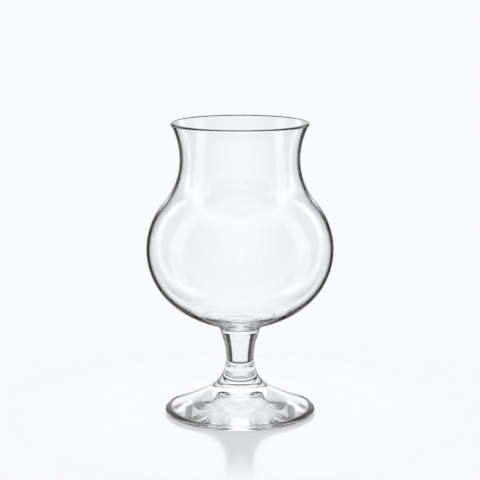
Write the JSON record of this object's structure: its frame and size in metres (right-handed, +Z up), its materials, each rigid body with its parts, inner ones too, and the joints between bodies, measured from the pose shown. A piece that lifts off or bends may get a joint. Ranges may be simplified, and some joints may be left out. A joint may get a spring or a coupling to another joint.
{
  "type": "hurricane glass",
  "caption": "Clear stemmed drinking glass with a flared rim, a narrow neck, a round tulip belly, a fused collar, a short solid waisted stem and a wide swept foot.",
  "frame": {"origin": "centre of the plane that the foot's flat ring stands on", "axes": "+Z up along the glass's axis, towards the rim"},
  "size_m": [0.0998, 0.0998, 0.1569],
  "materials": {
    "blown_glass": "clear, blown, fire-polished rim",
    "stem_glass": "clear, solid, fire-polished",
    "foot_glass": "clear, pressed, smooth"
  },
  "bodies": {
    "root": {"bowl": "blown_glass", "collar": "stem_glass", "stem": "stem_glass", "foot": "foot_glass"}
  },
  "joints": []
}
